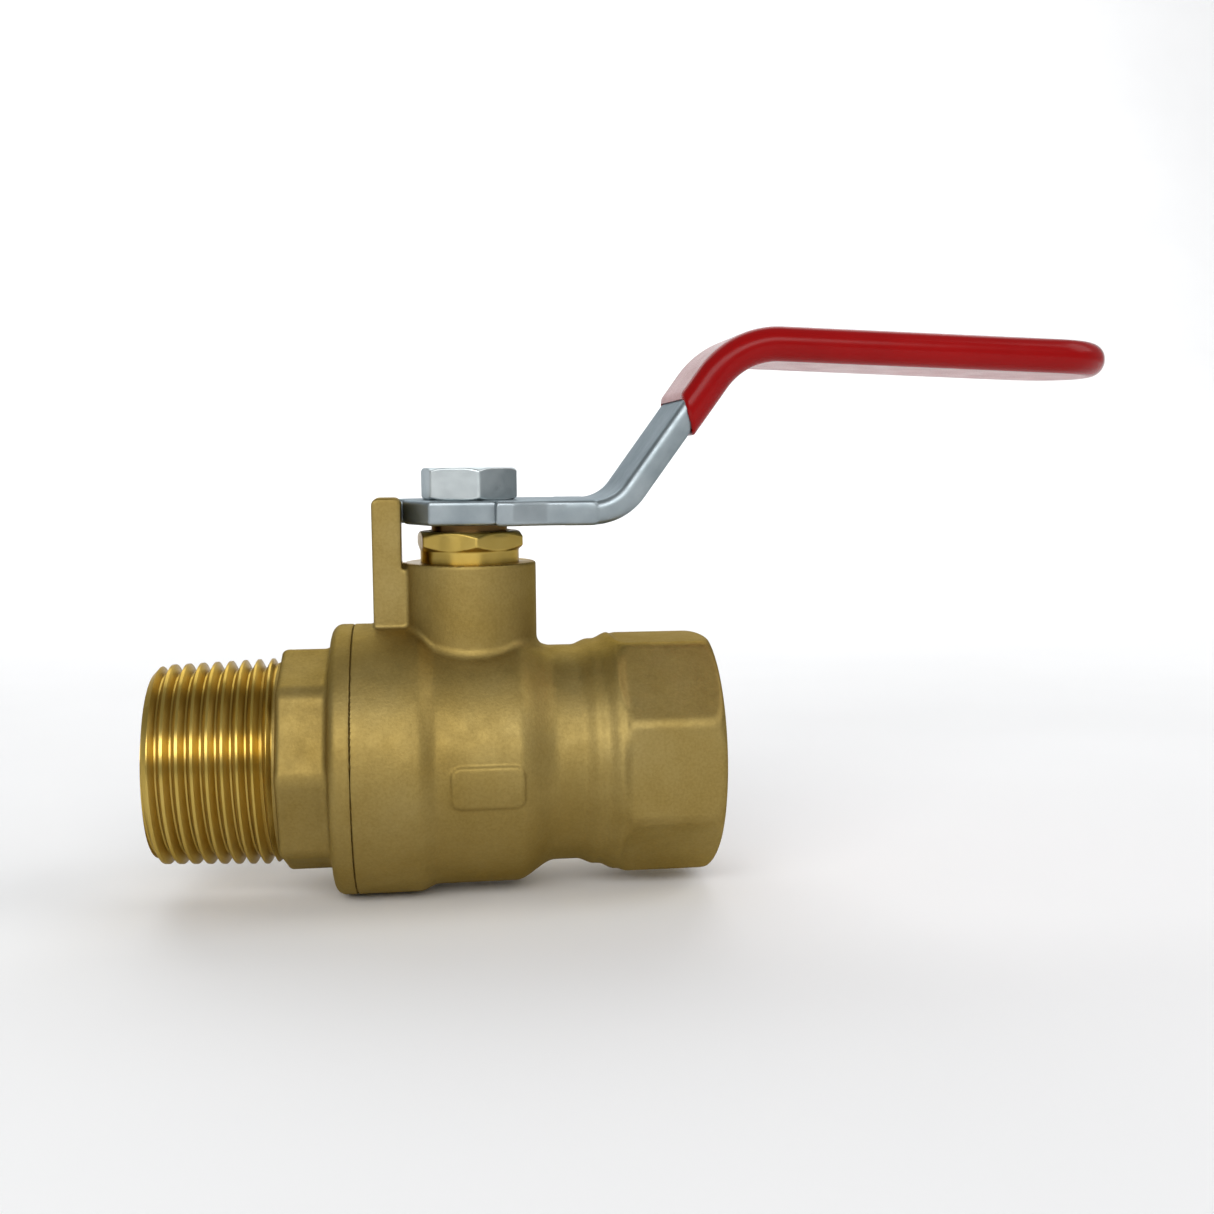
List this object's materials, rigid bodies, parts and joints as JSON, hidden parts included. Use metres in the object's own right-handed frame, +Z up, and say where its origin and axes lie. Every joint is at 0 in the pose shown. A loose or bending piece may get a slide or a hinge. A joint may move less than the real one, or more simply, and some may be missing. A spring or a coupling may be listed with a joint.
{
  "type": "ball valve",
  "caption": "Brass ball valve with a male and a female taper pipe thread and a quarter-turn steel lever with a red vinyl grip.",
  "frame": {"origin": "centre of the ball, where the pipe axis meets the stem axis", "axes": "+X along the waterway, out of the female end and along the open lever; +Z up the stem; +Y across the pipe"},
  "size_m": [0.1279, 0.0358, 0.074],
  "materials": {
    "forged_brass": "sand-blasted satin forging, machined thread",
    "machined_brass": "bright turned",
    "chromed_brass": "polished chrome plate",
    "zinc_steel": "zinc plated, satin",
    "red_vinyl": "glossy dipped vinyl",
    "ptfe": "waxy white",
    "fibre_seal": "matt"
  },
  "bodies": {
    "valve_body": {"body": "forged_brass", "end_adapter": "forged_brass", "body_joint_seal": "fibre_seal", "seat_inlet": "ptfe", "seat_outlet": "ptfe", "stem_thrust_washer": "ptfe", "stem_packing_lower": "ptfe", "stem_packing_upper": "ptfe", "packing_nut": "machined_brass"},
    "handle": {"stem": "machined_brass", "lever": "zinc_steel", "grip_sleeve": "red_vinyl", "handle_nut": "zinc_steel"},
    "ball_body": {"ball": "chromed_brass"}
  },
  "joints": [
    {"name": "lever_turn", "type": "hinge", "parent": "valve_body", "child": "handle", "pos_m": [0, 0, 0], "axis": [0, 0, -1], "range_deg": [0, 90]},
    {"name": "ball_turn", "type": "hinge", "parent": "valve_body", "child": "ball_body", "pos_m": [0, 0, 0], "axis": [0, 0, -1], "range_deg": [0, 90]}
  ],
  "couplings": [
    {"joint": "ball_turn", "follows": "lever_turn", "ratio": 1}
  ]
}
